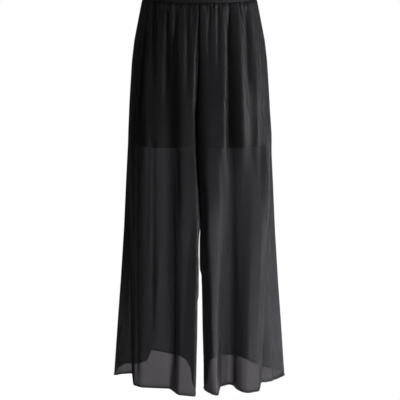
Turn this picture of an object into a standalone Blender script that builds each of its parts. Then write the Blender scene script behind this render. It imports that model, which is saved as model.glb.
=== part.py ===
"""Wide sheer culottes over a short opaque lining, filled out as they hang from the waist.

Metres, +Z up, the front faces -Y. The origin is the middle of the waistband, where the garment
is held. Left and right are the wearer's, so the left leg is at +X. "drop" is a height below the
waist, "across" a distance from the middle plane, and "forward" a distance in front of the side
seams. A panel runs from its side seam to the middle: to the rise seam above the crotch, and to
the inseam below it.
"""

from collections import namedtuple
import math

import bmesh
import bpy
import numpy as np

# Waistband
BAND_HEIGHT = 0.035
BAND_WALL = 0.0036
BAND_SET_IN = 0.0009
BAND_EDGE_ROUND = 0.0009
BAND_SEGMENTS = 72

# Cloth
SHEER_WALL = 0.001
LINING_WALL = 0.001
SEAM_GAP = 0.0003

# Lengths below the waist
TOP_DROP = BAND_HEIGHT / 2 + SEAM_GAP
HEM_DROP = 0.990
SHEER_CROTCH = 0.390
LINING_HEM_DROP = 0.363
LINING_CROTCH = 0.300
FOLDS_OPEN_FROM = 0.340
LEGS_PART_FROM = 0.600

# Body and leg outline: half width at the side seams, and depth in front and behind
Level = namedtuple("Level", "drop half_width front back")
OUTLINE = (
    Level(0.000, 0.1350, 0.098, 0.098),
    Level(0.066, 0.1485, 0.104, 0.107),
    Level(0.115, 0.1585, 0.108, 0.114),
    Level(0.164, 0.1648, 0.112, 0.120),
    Level(0.263, 0.1720, 0.116, 0.127),
    Level(0.364, 0.1772, 0.118, 0.131),
    Level(0.466, 0.1837, 0.120, 0.134),
    Level(0.596, 0.1912, 0.122, 0.137),
    Level(0.730, 0.2012, 0.124, 0.140),
    Level(0.838, 0.2103, 0.126, 0.143),
    Level(0.990, 0.2225, 0.130, 0.148),
)

# Half the space between the legs, to the middle of the cloth
Parting = namedtuple("Parting", "drop across")
PARTING = (
    Parting(0.000, 0.0018),
    Parting(0.600, 0.0018),
    Parting(0.630, 0.0034),
    Parting(0.730, 0.0038),
    Parting(0.840, 0.0047),
    Parting(0.950, 0.0068),
    Parting(0.990, 0.0084),
)

# How far the lining lies inside the sheer cloth
Inset = namedtuple("Inset", "drop depth")
LINING_INSET = (
    Inset(0.0178, 0.0023),
    Inset(0.045, 0.0058),
    Inset(0.120, 0.0105),
    Inset(0.363, 0.0130),
)
LINING_FROM_MIDDLE = 0.0045

# The hem's bends in plan, from the side seam to the inseam
Bend = namedtuple("Bend", "across forward")
HEM = {
    "front_right": (
        Bend(0.224, 0.000),
        Bend(0.204, -0.010),
        Bend(0.176, -0.014),
        Bend(0.168, 0.068),
        Bend(0.147, 0.082),
        Bend(0.075, 0.089),
        Bend(0.053, 0.130),
        Bend(0.012, 0.140),
        Bend(0.011, 0.122),
        Bend(0.013, 0.085),
        Bend(0.020, 0.040),
        Bend(0.021, 0.000),
    ),
    "back_right": (
        Bend(0.224, 0.000),
        Bend(0.215, -0.055),
        Bend(0.197, -0.084),
        Bend(0.166, -0.080),
        Bend(0.142, -0.102),
        Bend(0.132, -0.182),
        Bend(0.088, -0.160),
        Bend(0.053, -0.138),
        Bend(0.037, -0.109),
        Bend(0.024, -0.050),
        Bend(0.021, 0.000),
    ),
    "front_left": (
        Bend(0.222, 0.000),
        Bend(0.205, 0.020),
        Bend(0.182, 0.044),
        Bend(0.157, 0.050),
        Bend(0.150, 0.106),
        Bend(0.122, 0.118),
        Bend(0.107, 0.110),
        Bend(0.096, 0.094),
        Bend(0.085, 0.074),
        Bend(0.075, 0.063),
        Bend(0.052, 0.076),
        Bend(0.045, 0.134),
        Bend(0.034, 0.128),
        Bend(0.019, 0.110),
        Bend(0.012, 0.096),
        Bend(0.012, 0.080),
        Bend(0.019, 0.040),
        Bend(0.022, 0.000),
    ),
    "back_left": (
        Bend(0.222, 0.000),
        Bend(0.218, -0.028),
        Bend(0.194, -0.042),
        Bend(0.155, -0.069),
        Bend(0.136, -0.098),
        Bend(0.110, -0.135),
        Bend(0.078, -0.148),
        Bend(0.048, -0.136),
        Bend(0.028, -0.104),
        Bend(0.023, -0.050),
        Bend(0.022, 0.000),
    ),
}
HEM_ROUNDING = 0.007

# Gathers under the band in each panel. Pairs of drops say where they grow or fade.
GATHERS = 20
COLUMNS_PER_GATHER = 3
LINING_COLUMNS = 24
GATHER_DEPTH = 0.0023
GATHER_DEPTH_AT_SEAM = 0.0007
GATHERS_GROW = (TOP_DROP, 0.045)
GATHERS_FADE = (0.040, 0.130)
GATHER_PHASE = {"front_left": 0.4, "front_right": 1.5, "back_left": 2.2, "back_right": 0.9}
UNEVENNESS = 0.25
UNEVEN_TURNS = 2.7

# The largest folds of each panel. Each runs from one drop to another and leans from one distance
# across to another. Its depth is outward, and its flanks reach toward the middle (inner) and
# toward the side seam (outer).
Fold = namedtuple("Fold", "start end across_start across_end depth inner outer")
FOLDS = {
    "front_right": (
        Fold(0.015, 0.40, 0.122, 0.158, -0.0060, 0.009, 0.009),
        Fold(0.280, 1.02, 0.154, 0.164, -0.0040, 0.011, 0.012),
        Fold(0.015, 0.36, 0.105, 0.115, -0.0060, 0.009, 0.015),
        Fold(0.080, 0.98, 0.073, 0.069, -0.0100, 0.014, 0.026),
        Fold(0.060, 0.90, 0.047, 0.042, 0.0045, 0.024, 0.011),
        Fold(0.015, 0.42, 0.010, 0.006, -0.0070, 0.012, 0.009),
    ),
    "back_right": (
        Fold(0.015, 0.40, 0.000, 0.000, -0.0070, 0.009, 0.009),
        Fold(0.015, 0.70, 0.048, 0.046, 0.0040, 0.010, 0.010),
        Fold(0.015, 0.90, 0.062, 0.074, -0.0080, 0.010, 0.012),
        Fold(0.020, 0.55, 0.084, 0.100, 0.0050, 0.010, 0.010),
        Fold(0.030, 0.80, 0.112, 0.132, 0.0040, 0.010, 0.010),
        Fold(0.015, 0.75, 0.124, 0.146, -0.0060, 0.010, 0.010),
    ),
    "front_left": (
        Fold(0.015, 0.40, 0.000, 0.000, -0.0080, 0.009, 0.012),
        Fold(0.020, 0.50, 0.058, 0.058, 0.0030, 0.018, 0.009),
        Fold(0.040, 0.50, 0.071, 0.074, -0.0090, 0.009, 0.017),
        Fold(0.340, 1.02, 0.080, 0.088, -0.0050, 0.015, 0.014),
        Fold(0.020, 0.66, 0.093, 0.119, 0.0060, 0.015, 0.011),
        Fold(0.015, 0.40, 0.108, 0.127, -0.0070, 0.009, 0.020),
        Fold(0.360, 0.98, 0.046, 0.049, 0.0030, 0.016, 0.011),
    ),
    "back_left": (
        Fold(0.015, 0.40, 0.000, 0.000, -0.0070, 0.009, 0.009),
        Fold(0.015, 0.60, 0.044, 0.052, 0.0045, 0.010, 0.010),
        Fold(0.015, 0.80, 0.060, 0.070, -0.0070, 0.010, 0.010),
        Fold(0.015, 0.85, 0.090, 0.106, -0.0065, 0.012, 0.010),
        Fold(0.020, 0.70, 0.108, 0.126, 0.0050, 0.010, 0.010),
        Fold(0.015, 0.50, 0.122, 0.148, -0.0050, 0.009, 0.010),
    ),
}
FOLDS_OPEN = (0.00, 0.22)
FOLD_DEPTH_AT_BAND = 0.45
FOLD_WIDTH_AT_BAND = 0.65
FOLD_SOFT_START = 0.045
FOLD_SOFT_END = 0.14
FOLDS_STOP_AT_SIDE = (0.00, 0.05)
FOLDS_STOP_INSIDE = (0.84, 0.96)
FOLDS_STOP_INSIDE_FROM = (0.120, 0.340)

# How much of the folds the lining follows: most of them at the band, where both are gathered
LINING_FOLLOWS = (0.04, 0.16)
LINING_FOLD_SHARE = (0.90, 0.35)

# The wave that the two inner legs share, so that they lie in each other
WAVE_DEPTH = 0.0050
WAVE_LENGTH = 0.110
WAVE_LEAN = 9.0
WAVE_START = 2.6
WAVE_REACH = 0.050
WAVE_GROWS = (0.120, 0.300)
WAVE_FADES = (0.540, LEGS_PART_FROM)

# How the middle sinks in, and how the cloth comes to a seam there
SINK_POWER = 1.8
FOLD_OPENING_POWER = 1.1
TO_RISE_SEAM = (0.90, 1.00)
LINING_KEEPS_AWAY = (0.030, 0.120)
NEAR_MIDDLE = (0.020, 0.100)

# Rows, by drop: fine columns for the gathers, and half as many for the legs
FINE_ROWS = (TOP_DROP, 0.026, 0.042, 0.075, 0.125)
LEG_ROWS = (0.170, 0.220, 0.275, 0.330, 0.390, 0.450, 0.510, 0.570, 0.620, 0.700, 0.780,
            0.860, 0.930, HEM_DROP)
LINING_ROWS = (TOP_DROP, 0.045, 0.090, 0.140, 0.190, 0.245, LINING_CROTCH, LINING_HEM_DROP)

SIDES = {"left": 1.0, "right": -1.0}
FACES = {"front": 1.0, "back": -1.0}
CURVE_POINTS = 241
OUTER_SQUARENESS = 2.6
INNER_SQUARENESS = 10.0
LINING_SQUARENESS = 4.5

# Below the lining the front of the left leg falls nearly flat to its side seam: how square it is
# there, and the share of its depth that it loses on the way
FlatFront = namedtuple("FlatFront", "drop squareness slope")
LEFT_FRONT = (
    FlatFront(0.28, 2.6, 0.00),
    FlatFront(0.40, 8.0, 0.20),
    FlatFront(0.60, 8.0, 0.22),
    FlatFront(0.80, 6.0, 0.25),
    FlatFront(0.99, 5.0, 0.25),
)


def clear_scene():
    """Remove every object that the scene already holds."""
    for item in list(bpy.data.objects):
        bpy.data.objects.remove(item, do_unlink=True)


def ease(value, start, end):
    """A smooth step from 0 at start to 1 at end."""
    part = np.clip((value - start) / (end - start), 0.0, 1.0)
    return part * part * (3.0 - 2.0 * part)


def read_table(table, column, drop):
    """A table's column at a drop, between its rows."""
    drops = [row.drop for row in table]
    values = [getattr(row, column) for row in table]
    return float(np.interp(drop, drops, values))


def even_curve(points, count=CURVE_POINTS):
    """The same curve with its points an even way apart along it."""
    points = np.asarray(points, dtype=float)
    steps = np.linalg.norm(np.diff(points, axis=0), axis=1)
    along = np.concatenate(([0.0], np.cumsum(steps)))
    wanted = np.linspace(0.0, along[-1], count)
    columns = [np.interp(wanted, along, points[:, axis]) for axis in range(2)]
    return np.stack(columns, axis=1)


def rounded(points, radius):
    """Round a curve's corners, leaving its two ends where they are."""
    length = np.linalg.norm(np.diff(points, axis=0), axis=1).sum()
    reach = max(1, int(round(radius / length * (len(points) - 1))))
    before = 2.0 * points[0] - points[reach:0:-1]
    after = 2.0 * points[-1] - points[-2:-reach - 2:-1]
    padded = np.concatenate((before, points, after))
    weights = np.hanning(2 * reach + 3)[1:-1]
    weights /= weights.sum()
    columns = [np.convolve(padded[:, axis], weights, mode="valid") for axis in range(2)]
    return np.stack(columns, axis=1)


def sunk(drop, crotch):
    """How far the middle has sunk in at a drop: 0 at the waist, 1 at the crotch."""
    return min(1.0, drop / crotch) ** SINK_POWER


def plain_section(side, face, drop, inset=0.0):
    """A half body at a drop, from side seam to middle, without folds.

    It is an oval of the body at the waist. The middle sinks in toward the crotch, where it has
    become the outline of one leg: an oval that is nearly square beside the other leg. The lining,
    which is set in, has the higher crotch.
    """
    half_width = read_table(OUTLINE, "half_width", drop) - inset
    depth = read_table(OUTLINE, face, drop) - inset
    middle = read_table(PARTING, "across", drop)
    if inset:
        middle += LINING_FROM_MIDDLE * float(ease(drop, *LINING_KEEPS_AWAY))
    turn = np.linspace(0.0, math.pi, CURVE_POINTS)
    beside_other_leg = LINING_SQUARENESS if inset else INNER_SQUARENESS
    beside_seam, slope = OUTER_SQUARENESS, 0.0
    if (face, side) == ("front", "left") and not inset:
        beside_seam = read_table(LEFT_FRONT, "squareness", drop)
        slope = read_table(LEFT_FRONT, "slope", drop)
    power = 2.0 / np.where(np.cos(turn) > 0.0, beside_seam, beside_other_leg)
    reach = np.sign(np.cos(turn)) * np.abs(np.cos(turn)) ** power
    across = (half_width + middle) / 2 + (half_width - middle) / 2 * reach
    creased = sunk(drop, SHEER_CROTCH)
    if inset:
        near_middle = 1.0 - ease(across, *NEAR_MIDDLE)
        creased = creased + (sunk(drop, LINING_CROTCH) - creased) * near_middle
    body = depth * np.sqrt(np.clip(1.0 - (across / half_width) ** 2, 0.0, 1.0))
    leg = depth * np.abs(np.sin(turn)) ** power * (1.0 - slope * np.clip(reach, 0.0, 1.0))
    forward = (1.0 - creased) * body + creased * leg
    return even_curve(np.stack((across, forward * FACES[face]), axis=1))


def hem_section(panel):
    """The hem of one panel in plan."""
    return even_curve([(bend.across, bend.forward) for bend in HEM[panel]])


def half_section(side, drop, lining):
    """Half of the garment in plan: from the middle behind, round the side, to the middle in front."""
    inset = read_table(LINING_INSET, "depth", drop) if lining else 0.0
    opened = 0.0
    if drop > FOLDS_OPEN_FROM and not lining:
        share = (drop - FOLDS_OPEN_FROM) / (HEM_DROP - FOLDS_OPEN_FROM)
        opened = share ** FOLD_OPENING_POWER
    halves = []
    for face in ("back", "front"):
        curve = plain_section(side, face, drop, inset)
        if opened:
            folded = hem_section(face + "_" + side)
            curve = curve + opened * (folded - plain_section(side, face, HEM_DROP))
        halves.append(curve)
    path = np.concatenate((halves[0][::-1], halves[1][1:]))
    return rounded(path, HEM_ROUNDING)


def gather_depth(panel, place, drop):
    """How far a panel's gathers push the cloth out, or in, at places from side to middle."""
    turn = 2.0 * math.pi * place
    swell = 1.0 - UNEVENNESS + UNEVENNESS * np.sin(UNEVEN_TURNS * turn + 4.0 * GATHER_PHASE[panel])
    depth = np.interp(drop, GATHERS_GROW, (GATHER_DEPTH_AT_SEAM, GATHER_DEPTH))
    return depth * (1.0 - ease(drop, *GATHERS_FADE)) * swell * np.cos(GATHERS * turn)


def fold_depth(panel, curve, place, drop):
    """How far a panel's folds push the cloth out, or in, at places from side to middle."""
    length = np.linalg.norm(np.diff(curve, axis=0), axis=1).sum()
    deep = np.interp(drop, FOLDS_OPEN, (FOLD_DEPTH_AT_BAND, 1.0))
    wide = np.interp(drop, FOLDS_OPEN, (FOLD_WIDTH_AT_BAND, 1.0))
    total = np.zeros_like(place)
    for fold in FOLDS[panel]:
        strength = deep * ease(drop, fold.start, fold.start + FOLD_SOFT_START)
        strength *= 1.0 - ease(drop, fold.end - FOLD_SOFT_END, fold.end)
        across = np.interp(drop, (fold.start, fold.end), (fold.across_start, fold.across_end))
        reached = np.nonzero(curve[:, 0] <= across)[0]
        middle = (reached[0] if len(reached) else len(curve) - 1) / (len(curve) - 1)
        away = (place - middle) * length
        width = wide * np.where(away > 0.0, fold.inner, fold.outer)
        total += strength * fold.depth * np.exp(-(away / width) ** 2)
    inside = ease(place, *FOLDS_STOP_INSIDE) * ease(drop, *FOLDS_STOP_INSIDE_FROM)
    return total * ease(place, *FOLDS_STOP_AT_SIDE) * (1.0 - inside)


def panel_curve(face, side, drop, lining):
    """One panel's line in plan from side seam to middle, with the outward way at each point."""
    path = half_section(side, drop, lining)
    tangent = np.gradient(path, axis=0)
    tangent /= np.linalg.norm(tangent, axis=1)[:, None]
    outward = np.stack((tangent[:, 1], -tangent[:, 0]), axis=1)
    seam = (len(path) - 1) // 2
    half = slice(seam, None) if face == "front" else slice(seam, None, -1)
    curve, outward = path[half], outward[half]
    return curve, outward * np.sign(outward[0, 0])


def shared_wave(across, forward, drop):
    """The sideways wave of both inner legs, which dies away from the middle."""
    strength = ease(drop, *WAVE_GROWS) * (1.0 - ease(drop, *WAVE_FADES))
    near = (1.0 - np.clip(across / WAVE_REACH, 0.0, 1.0)) ** 2
    turn = 2.0 * math.pi * forward / WAVE_LENGTH + WAVE_LEAN * drop + WAVE_START
    return WAVE_DEPTH * strength * near * np.sin(turn)


def panel_row(face, side, drop, places, wall, lining=False):
    """One panel at a drop, at places from side seam to middle: points with their outward ways."""
    curve, outward = panel_curve(face, side, drop, lining)
    length = np.linalg.norm(np.diff(curve, axis=0), axis=1).sum()
    margin = SEAM_GAP / 2 / length
    at = np.clip(places, margin, 1.0 - margin) * (len(curve) - 1)
    columns = (*curve.T, *outward.T)
    across, forward, out_x, out_y = (np.interp(at, range(len(curve)), values) for values in columns)
    panel = face + "_" + side
    push = fold_depth(panel, curve, places, drop)
    if lining:
        push = push * np.interp(drop, LINING_FOLLOWS, LINING_FOLD_SHARE)
    else:
        push = push + gather_depth(panel, places, drop)
    across = across + push * out_x
    forward = forward + push * out_y
    seam = SEAM_GAP / 2 + wall / 2 * np.abs(out_x)
    if drop <= (LINING_CROTCH if lining else SHEER_CROTCH):
        across = across + (seam - across) * ease(places, *TO_RISE_SEAM)
    across = np.maximum(across, seam)
    shared = shared_wave(across, forward, drop)
    sign = SIDES[side]
    points = [(sign * a + s, -f, -drop) for a, f, s in zip(across, forward, shared)]
    ways = [(sign * x, -y, 0.0) for x, y in zip(out_x, out_y)]
    return list(zip(points, ways))


def place_row(mesh, chain, row):
    """Move a chain of vertices to a row's points and note which way is outward at each."""
    outward = mesh.verts.layers.float_vector["outward"]
    for vertex, (point, way) in zip(chain, row):
        vertex.co = point
        vertex[outward] = way


def first_row(mesh, row):
    """A chain of vertices and edges at a row's points."""
    mesh.verts.layers.float_vector.new("outward")
    chain = [mesh.verts.new() for _ in row]
    for pair in zip(chain, chain[1:]):
        mesh.edges.new(pair)
    place_row(mesh, chain, row)
    return chain


def next_row(mesh, chain, row):
    """Extrude a chain of vertices and move the new ones to the next row."""
    edges = [mesh.edges.get(pair) for pair in zip(chain, chain[1:])]
    made = bmesh.ops.extrude_edge_only(mesh, edges=edges)["geom"]
    fresh = {item for item in made if isinstance(item, bmesh.types.BMVert)}
    moved = [next(e.other_vert(vertex) for e in vertex.link_edges if e.other_vert(vertex) in fresh)
             for vertex in chain]
    place_row(mesh, moved, row)
    return moved


def doubled(mesh, chain, row):
    """Cut each edge of a chain in two, and move the longer chain to its row."""
    longer = [chain[0]]
    for start, end in zip(chain, chain[1:]):
        between = bmesh.utils.edge_split(mesh.edges.get((start, end)), start, 0.5)[1]
        longer += [between, end]
    place_row(mesh, longer, row)
    return longer


def give_wall(mesh, wall):
    """Make a closed wall from a sheet, half to each side."""
    outward = mesh.verts.layers.float_vector["outward"]
    made = bmesh.ops.extrude_face_region(mesh, geom=mesh.faces[:], use_keep_orig=True)["geom"]
    outer = {item for item in made if isinstance(item, bmesh.types.BMVert)}
    for vertex in mesh.verts:
        side = 1.0 if vertex in outer else -1.0
        vertex.co += side * wall / 2 * vertex[outward]
    bmesh.ops.recalc_face_normals(mesh, faces=mesh.faces[:])


def add_object(name, mesh, material):
    """Put a finished mesh in the scene under its piece's name."""
    data = bpy.data.meshes.new(name)
    mesh.to_mesh(data)
    mesh.free()
    data.shade_smooth()
    data.materials.append(material)
    thing = bpy.data.objects.new(name, data)
    bpy.context.collection.objects.link(thing)
    return thing


def fabric(name, color, roughness):
    """A plain cloth material."""
    material = bpy.data.materials.new(name)
    material.use_nodes = True
    shader = material.node_tree.nodes["Principled BSDF"]
    shader.inputs["Base Color"].default_value = (*color, 1.0)
    shader.inputs["Roughness"].default_value = roughness
    shader.inputs["Metallic"].default_value = 0.0
    return material


def make_panel(name, face, side, material, lining=False):
    """One panel of cloth, extruded row by row from its hem up to the band."""
    wall = LINING_WALL if lining else SHEER_WALL
    columns = LINING_COLUMNS if lining else GATHERS * COLUMNS_PER_GATHER // 2
    wide = np.linspace(0.0, 1.0, columns + 1)
    fine = np.linspace(0.0, 1.0, 2 * columns + 1)
    rows = LINING_ROWS if lining else LEG_ROWS
    mesh = bmesh.new()
    chain = first_row(mesh, panel_row(face, side, rows[-1], wide, wall, lining))
    for drop in reversed(rows[:-1]):
        chain = next_row(mesh, chain, panel_row(face, side, drop, wide, wall, lining))
    if not lining:
        chain = doubled(mesh, chain, panel_row(face, side, rows[0], fine, wall))
        for drop in reversed(FINE_ROWS):
            chain = next_row(mesh, chain, panel_row(face, side, drop, fine, wall))
    give_wall(mesh, wall)
    return add_object(name, mesh, material)


def make_waistband(material):
    """The band: an oval strip of cloth round an elastic."""
    mesh = bmesh.new()
    bmesh.ops.create_circle(mesh, segments=BAND_SEGMENTS, radius=1.0)
    strip = bmesh.ops.extrude_edge_only(mesh, edges=mesh.edges[:])["geom"]
    top = {item for item in strip if isinstance(item, bmesh.types.BMVert)}
    for vertex in mesh.verts:
        drop = -BAND_HEIGHT / 2 if vertex in top else BAND_HEIGHT / 2
        vertex.co.x *= read_table(OUTLINE, "half_width", drop) - BAND_SET_IN
        vertex.co.y *= read_table(OUTLINE, "front", drop) - BAND_SET_IN
        vertex.co.z = -drop
    bmesh.ops.recalc_face_normals(mesh, faces=mesh.faces[:])
    thing = add_object("waistband", mesh, material)
    solid = thing.modifiers.new("Wall", "SOLIDIFY")
    solid.thickness = BAND_WALL
    solid.offset = 0.0
    edge = thing.modifiers.new("Edge", "BEVEL")
    edge.width = BAND_EDGE_ROUND
    edge.segments = 1
    edge.limit_method = "ANGLE"
    return thing


def build():
    """Make every piece."""
    clear_scene()
    make_waistband(fabric("band_cloth", (0.012, 0.012, 0.014), 0.6))
    for side in SIDES:
        for face in FACES:
            sheer = fabric("sheer_" + face + "_" + side, (0.020, 0.019, 0.022), 0.7)
            make_panel(face + "_" + side, face, side, sheer)
            opaque = fabric("lining_" + face + "_" + side, (0.008, 0.008, 0.010), 0.5)
            make_panel("lining_" + face + "_" + side, face, side, opaque, lining=True)


build()
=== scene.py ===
# %% [markdown]
# # Sheer culottes over a short lining
#
# This lesson dresses the measured solids of a pair of very wide, sheer black trousers. They hang
# filled out from a gathered waist. Two thin layers of chiffon, front and back, let a white
# background through, and a short opaque lining hides it above the thighs.
#
# The frame is the set of solids, loaded from the model file. Every piece made here lies on them.

# %% Load the solids
import math
from collections import namedtuple

import bmesh
import bpy
import numpy as np
from mathutils import Matrix, Vector


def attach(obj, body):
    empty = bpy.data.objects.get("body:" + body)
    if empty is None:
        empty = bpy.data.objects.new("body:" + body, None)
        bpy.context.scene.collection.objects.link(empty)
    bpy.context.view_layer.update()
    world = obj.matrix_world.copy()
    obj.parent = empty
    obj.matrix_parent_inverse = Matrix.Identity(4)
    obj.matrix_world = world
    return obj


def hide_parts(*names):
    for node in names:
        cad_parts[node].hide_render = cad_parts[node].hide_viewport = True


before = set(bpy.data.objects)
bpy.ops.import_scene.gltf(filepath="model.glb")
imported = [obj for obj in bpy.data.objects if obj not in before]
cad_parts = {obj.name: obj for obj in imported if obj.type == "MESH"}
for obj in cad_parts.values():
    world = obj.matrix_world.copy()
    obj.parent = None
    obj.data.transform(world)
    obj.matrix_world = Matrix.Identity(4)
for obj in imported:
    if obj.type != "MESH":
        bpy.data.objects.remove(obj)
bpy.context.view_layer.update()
MM = 0.001
print("solids:", sorted(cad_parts))

# %% [markdown]
# ## The garment's sizes
#
# A trouser maker works from a few measures: how wide and deep the body is at each height, how
# high the crotch is, how long the lining is, and how the hem falls. Here "drop" is a height below
# the waist, "across" a distance from the middle plane, and "forward" a distance in front of the
# side seams. The same measures shaped the solids, so a shell made from them lies on its solid.

# %% Measures
BAND_HEIGHT = 0.035
TOP_DROP = BAND_HEIGHT / 2 + 0.0003
HEM_DROP = 0.990
SHEER_CROTCH = 0.390
LINING_CROTCH = 0.300
LINING_HEM_DROP = 0.363
FOLDS_OPEN_FROM = 0.340
LEGS_PART_FROM = 0.600
SIDES = {"left": 1.0, "right": -1.0}
FACES = {"front": 1.0, "back": -1.0}

Level = namedtuple("Level", "drop half_width front back")
OUTLINE = (
    Level(0.000, 0.1350, 0.098, 0.098),
    Level(0.066, 0.1485, 0.104, 0.107),
    Level(0.115, 0.1585, 0.108, 0.114),
    Level(0.164, 0.1648, 0.112, 0.120),
    Level(0.263, 0.1720, 0.116, 0.127),
    Level(0.364, 0.1772, 0.118, 0.131),
    Level(0.466, 0.1837, 0.120, 0.134),
    Level(0.596, 0.1912, 0.122, 0.137),
    Level(0.730, 0.2012, 0.124, 0.140),
    Level(0.838, 0.2103, 0.126, 0.143),
    Level(0.990, 0.2225, 0.130, 0.148),
)
Parting = namedtuple("Parting", "drop across")
PARTING = (
    Parting(0.000, 0.0018),
    Parting(0.600, 0.0018),
    Parting(0.630, 0.0022),
    Parting(0.730, 0.0038),
    Parting(0.840, 0.0047),
    Parting(0.950, 0.0068),
    Parting(0.990, 0.0084),
)
Inset = namedtuple("Inset", "drop depth")
LINING_INSET = (
    Inset(0.0178, 0.0023),
    Inset(0.045, 0.0058),
    Inset(0.120, 0.0105),
    Inset(0.363, 0.0130),
)
LINING_FROM_MIDDLE = 0.0045
print("length below the band, m:", round(HEM_DROP - TOP_DROP, 3))

# %% [markdown]
# ## The hem in plan
#
# Seen from above, a hanging hem isn't an oval. It runs in and out in a few deep bends, and those
# bends are the long folds of the leg. A short table gives the bends of each panel from the side
# seam to the inseam, and a smooth line is drawn through them.

# %% Hem bends
Bend = namedtuple("Bend", "across forward")
HEM = {
    "front_right": (
        Bend(0.224, 0.000),
        Bend(0.204, -0.010),
        Bend(0.176, -0.014),
        Bend(0.168, 0.068),
        Bend(0.147, 0.082),
        Bend(0.075, 0.089),
        Bend(0.053, 0.130),
        Bend(0.012, 0.140),
        Bend(0.011, 0.122),
        Bend(0.013, 0.085),
        Bend(0.020, 0.040),
        Bend(0.021, 0.000),
    ),
    "back_right": (
        Bend(0.224, 0.000),
        Bend(0.215, -0.055),
        Bend(0.197, -0.084),
        Bend(0.166, -0.080),
        Bend(0.142, -0.102),
        Bend(0.132, -0.182),
        Bend(0.088, -0.160),
        Bend(0.053, -0.138),
        Bend(0.037, -0.109),
        Bend(0.024, -0.050),
        Bend(0.021, 0.000),
    ),
    "front_left": (
        Bend(0.222, 0.000),
        Bend(0.205, 0.020),
        Bend(0.182, 0.044),
        Bend(0.157, 0.050),
        Bend(0.150, 0.106),
        Bend(0.122, 0.118),
        Bend(0.107, 0.110),
        Bend(0.096, 0.094),
        Bend(0.085, 0.074),
        Bend(0.075, 0.063),
        Bend(0.052, 0.076),
        Bend(0.045, 0.134),
        Bend(0.034, 0.128),
        Bend(0.019, 0.110),
        Bend(0.012, 0.096),
        Bend(0.012, 0.080),
        Bend(0.019, 0.040),
        Bend(0.022, 0.000),
    ),
    "back_left": (
        Bend(0.222, 0.000),
        Bend(0.218, -0.028),
        Bend(0.194, -0.042),
        Bend(0.155, -0.069),
        Bend(0.136, -0.098),
        Bend(0.110, -0.135),
        Bend(0.078, -0.148),
        Bend(0.048, -0.136),
        Bend(0.028, -0.104),
        Bend(0.023, -0.050),
        Bend(0.022, 0.000),
    ),
}
HEM_ROUNDING = 0.007
INNER_ROUNDING = 0.003
INNER_ROUNDING_REACH = (0.035, 0.060)
WIDE_ROUNDING = 0.037
WIDE_FROM, WIDE_TO = (0.540, 0.680), (0.920, 0.990)
CURVE_POINTS = 241


def ease(value, start, end):
    """A smooth step from 0 at start to 1 at end."""
    part = np.clip((value - start) / (end - start), 0.0, 1.0)
    return part * part * (3.0 - 2.0 * part)


def read_table(table, column, drop):
    """A table's column at a drop, between its rows."""
    drops = [row.drop for row in table]
    return float(np.interp(drop, drops, [getattr(row, column) for row in table]))


def length_of(points):
    """The length of a line through points."""
    return np.linalg.norm(np.diff(points, axis=0), axis=1).sum()


def even_curve(points, count=CURVE_POINTS):
    """The same curve with its points an even way apart along it."""
    points = np.asarray(points, dtype=float)
    steps = np.linalg.norm(np.diff(points, axis=0), axis=1)
    along = np.concatenate(([0.0], np.cumsum(steps)))
    wanted = np.linspace(0.0, along[-1], count)
    return np.stack([np.interp(wanted, along, points[:, axis]) for axis in range(2)], axis=1)


def rounded(points, radius):
    """Round a curve's corners, leaving its two ends where they are."""
    reach = max(1, int(round(radius / length_of(points) * (len(points) - 1))))
    before = 2.0 * points[0] - points[reach:0:-1]
    after = 2.0 * points[-1] - points[-2:-reach - 2:-1]
    padded = np.concatenate((before, points, after))
    weights = np.hanning(2 * reach + 3)[1:-1]
    weights /= weights.sum()
    return np.stack([np.convolve(padded[:, axis], weights, mode="valid") for axis in range(2)], axis=1)


for panel, bends in HEM.items():
    print(panel, "hem, m round:", round(float(length_of(np.array(bends))), 3))

# %% [markdown]
# ## One half of the garment at any height
#
# At the waist the section is half of an oval. Toward the crotch its middle sinks in, until it has
# closed into the oval of one leg. Below that it opens into the hem's bends. Blending three known
# curves by height keeps every fold running the length of the leg, as cloth threads do. The inner
# corner of the right leg stays crisp, where it edges the dark crease between the legs, and the left
# one's is rounded wide lower down. The left front also falls nearly flat toward its side seam.

# %% Sections
OUTER_SQUARENESS = 2.6
FlatFront = namedtuple("FlatFront", "drop squareness slope")
LEFT_FRONT = (
    FlatFront(0.28, 2.6, 0.00),
    FlatFront(0.40, 12.0, 0.20),
    FlatFront(0.60, 11.0, 0.22),
    FlatFront(0.80, 6.0, 0.25),
    FlatFront(0.99, 5.0, 0.25),
)
INNER_SQUARENESS = {"left": 10.0, "right": 22.0}
LINING_SQUARENESS = 4.5
SINK_POWER = 1.8
FOLD_OPENING_POWER = 1.1
LINING_KEEPS_AWAY = (0.030, 0.120)
NEAR_MIDDLE = (0.020, 0.100)
DROPS_TO_MEASURE = (0.1, 0.3, 0.6, 0.9)


def sunk(drop, crotch):
    """How far the middle has sunk in at a drop: 0 at the waist, 1 at the crotch."""
    return min(1.0, drop / crotch) ** SINK_POWER


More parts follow.
